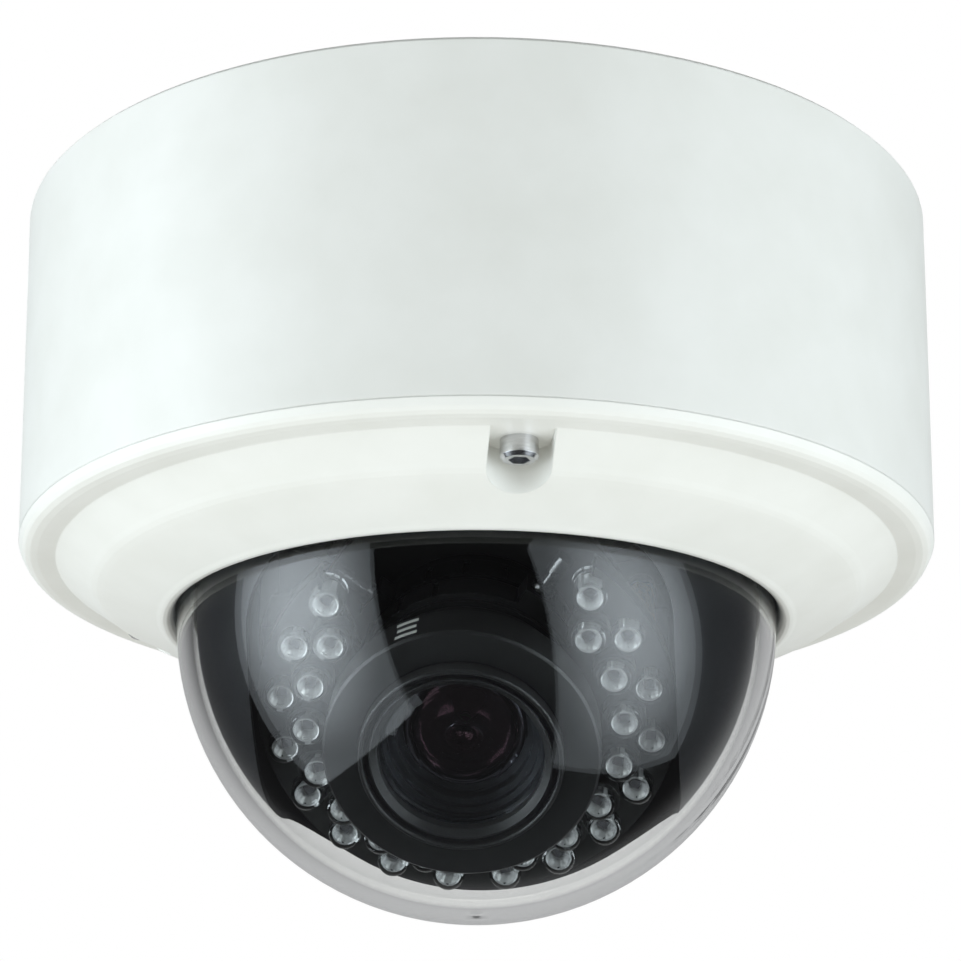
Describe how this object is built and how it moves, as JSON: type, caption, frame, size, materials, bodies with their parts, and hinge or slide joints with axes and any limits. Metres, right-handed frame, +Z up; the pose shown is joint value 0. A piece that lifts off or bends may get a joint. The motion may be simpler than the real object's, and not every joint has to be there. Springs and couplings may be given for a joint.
{
  "type": "dome cctv camera",
  "caption": "Ceiling dome camera: white cast housing and cover ring, clear dome, black shroud, pan, tilt and rotating lens with ring of infrared lamps.",
  "frame": {"origin": "centre of the ceiling face of the housing", "axes": "+Z up into the ceiling, the lens looks towards -Y and down at rest, +X is to the right seen from the front"},
  "size_m": [0.147, 0.147, 0.1127],
  "materials": {
    "white_cast": "satin white powder coat on cast aluminium",
    "black_plastic": "matt black",
    "steel": "bright",
    "brass": "machined",
    "rubber": "matt",
    "board_green": "solder mask",
    "board_black": "black solder mask",
    "terminal_green": "moulded",
    "component_dark": "moulded",
    "clear_dome": "clear polycarbonate, polished",
    "black_metal": "satin black",
    "nylon": "natural",
    "shroud_plastic": "black, slight sheen",
    "lens_black": "fine matt",
    "lens_trim": "satin black",
    "lens_glass": "coated",
    "led_clear": "clear epoxy",
    "dark_steel": "blackened, worn bright at the edges",
    "sensor_resin": "clear lacquer"
  },
  "bodies": {
    "housing": {"base_housing": "white_cast", "conduit_plug": "white_cast", "cable_grommet": "rubber", "thread_inserts": "brass", "earth_screw": "brass", "io_board": "board_green", "io_board_screws": "steel", "video_connector": "steel", "terminal_block": "terminal_green", "io_capacitors": "component_dark", "pan_base": "black_plastic", "pan_base_screws": "steel"},
    "cover": {"cover_ring": "white_cast", "cover_seal": "rubber", "dome_gasket": "rubber", "dome_bubble": "clear_dome", "dome_retainer": "black_metal", "retainer_screws": "steel", "captive_rings": "nylon"},
    "cover_screw_a": {"cover_screw_1": "steel"},
    "cover_screw_b": {"cover_screw_2": "steel"},
    "cover_screw_c": {"cover_screw_3": "steel"},
    "pan": {"pan_yoke": "black_plastic", "pan_clip": "steel", "inner_shroud": "shroud_plastic", "shroud_screws": "steel"},
    "pan_lock_screw": {"pan_lock": "steel"},
    "tilt": {"tilt_cradle": "black_plastic", "rotation_lock": "steel"},
    "tilt_screw_left": {"tilt_lock_left": "steel"},
    "tilt_screw_right": {"tilt_lock_right": "steel"},
    "rotor": {"lens_carrier": "black_plastic", "carrier_ring": "steel", "sensor_board": "board_green", "sensor_chip": "component_dark", "sensor_screws": "steel", "sensor_connector": "nylon", "lens_body": "lens_black", "rear_element": "lens_glass", "iris_drive": "black_plastic", "led_standoffs": "brass", "led_board": "board_black", "led_holder": "black_plastic", "leds_outer_left": "led_clear", "leds_outer_right": "led_clear", "leds_inner_left": "led_clear", "leds_inner_right": "led_clear", "light_sensor": "sensor_resin", "led_screws": "steel"},
    "zoom": {"zoom_ring": "lens_black", "zoom_lever": "dark_steel"},
    "focus": {"focus_ring": "lens_black", "focus_lever": "dark_steel"},
    "front_group": {"lens_barrel": "lens_black", "front_trim": "lens_trim", "front_glass": "lens_glass"}
  },
  "joints": [
    {"name": "cover_release", "type": "slide", "parent": "housing", "child": "cover", "axis": [0, 0, 1], "range_m": [-0.07, 0]},
    {"name": "cover_screw_a_turn", "type": "hinge", "parent": "cover", "child": "cover_screw_a", "pos_m": [0.01112, -0.05998, -0.057], "axis": [0, 0, 1], "continuous": true},
    {"name": "cover_screw_b_turn", "type": "hinge", "parent": "cover", "child": "cover_screw_b", "pos_m": [0.04638, 0.03962, -0.057], "axis": [0, 0, 1], "continuous": true},
    {"name": "cover_screw_c_turn", "type": "hinge", "parent": "cover", "child": "cover_screw_c", "pos_m": [-0.0575, 0.02036, -0.057], "axis": [0, 0, 1], "continuous": true},
    {"name": "pan_turn", "type": "hinge", "parent": "housing", "child": "pan", "pos_m": [0, 0, -0.04], "axis": [0, 0, 1], "range_deg": [-177, 177]},
    {"name": "pan_lock_turn", "type": "hinge", "parent": "pan", "child": "pan_lock_screw", "pos_m": [0, 0.025, -0.042], "axis": [0, 0, 1], "continuous": true},
    {"name": "tilt_turn", "type": "hinge", "parent": "pan", "child": "tilt", "pos_m": [0, 0, -0.0672], "axis": [1, 0, 0], "range_deg": [-18, 38]},
    {"name": "tilt_screw_left_turn", "type": "hinge", "parent": "tilt", "child": "tilt_screw_left", "pos_m": [-0.036, 0, -0.0672], "axis": [1, 0, 0], "continuous": true},
    {"name": "tilt_screw_right_turn", "type": "hinge", "parent": "tilt", "child": "tilt_screw_right", "pos_m": [0.036, 0, -0.0672], "axis": [1, 0, 0], "continuous": true},
    {"name": "image_rotation", "type": "hinge", "parent": "tilt", "child": "rotor", "pos_m": [0, 0, -0.0672], "axis": [0, -0.7071, -0.7071], "range_deg": [-90, 90]},
    {"name": "zoom_turn", "type": "hinge", "parent": "rotor", "child": "zoom", "pos_m": [0, 0, -0.0672], "axis": [0, -0.7071, -0.7071], "range_deg": [-30, 10]},
    {"name": "focus_turn", "type": "hinge", "parent": "rotor", "child": "focus", "pos_m": [0, 0, -0.0672], "axis": [0, -0.7071, -0.7071], "range_deg": [-25, 30]},
    {"name": "front_slide", "type": "slide", "parent": "rotor", "child": "front_group", "axis": [0, -0.7071, -0.7071], "range_m": [-0.00083, 0.00069]}
  ],
  "couplings": [
    {"joint": "focus_turn", "follows": "front_slide", "rad_per_m": -625}
  ]
}
